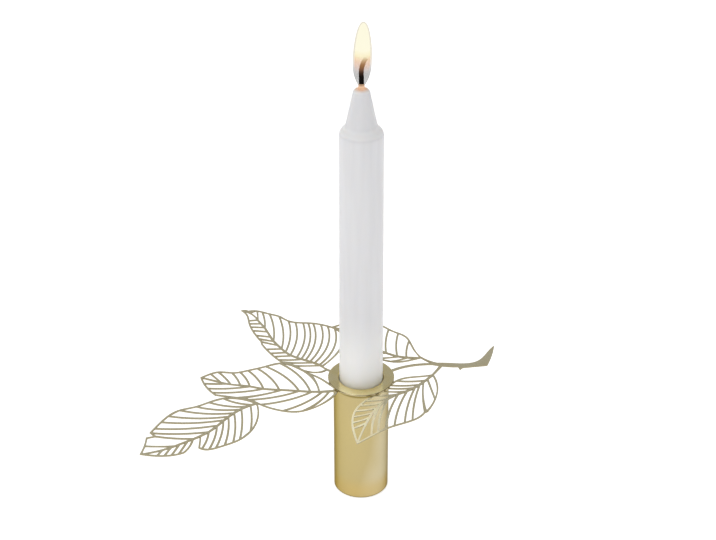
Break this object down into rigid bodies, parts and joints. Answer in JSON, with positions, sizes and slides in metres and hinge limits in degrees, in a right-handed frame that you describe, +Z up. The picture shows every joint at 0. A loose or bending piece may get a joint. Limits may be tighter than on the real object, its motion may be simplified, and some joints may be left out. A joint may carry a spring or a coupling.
{
  "type": "candle ring",
  "caption": "Flat etched brass leaf branch held by its eye under the drip flange of a candle cup, on a short weighted tube stand with a slim moulded candle.",
  "frame": {"origin": "centre of the felt pad's underside, where the candle's axis meets the table", "axes": "+Z up along the candle, +X towards the twig's end, +Y away from the front leaf's tip"},
  "size_m": [0.1736, 0.1283, 0.2406],
  "materials": {
    "tube_brass": "lacquered, satin",
    "cup_brass": "lacquered, polished",
    "etched_brass": "etched, bright",
    "wax": "smooth wax",
    "wick": "braided cotton, charred at the end",
    "ballast_steel": "turned",
    "felt": "pressed felt"
  },
  "bodies": {
    "stand": {"stand_tube": "tube_brass", "felt_pad": "felt", "ballast_slug": "ballast_steel"},
    "leaf": {"leaf_ring": "etched_brass"},
    "socket": {"socket_cup": "cup_brass"},
    "candle": {"candle_body": "wax", "candle_wick": "wick"}
  },
  "joints": [
    {"name": "leaf_turn", "type": "hinge", "parent": "stand", "child": "leaf", "pos_m": [0, 0, 0.0655], "axis": [0, 0, 1], "continuous": true},
    {"name": "socket_lift", "type": "slide", "parent": "stand", "child": "socket", "axis": [0, 0, 1], "range_m": [0, 0.025]},
    {"name": "candle_lift", "type": "slide", "parent": "socket", "child": "candle", "axis": [0, 0, 1], "range_m": [0, 0.025]}
  ]
}
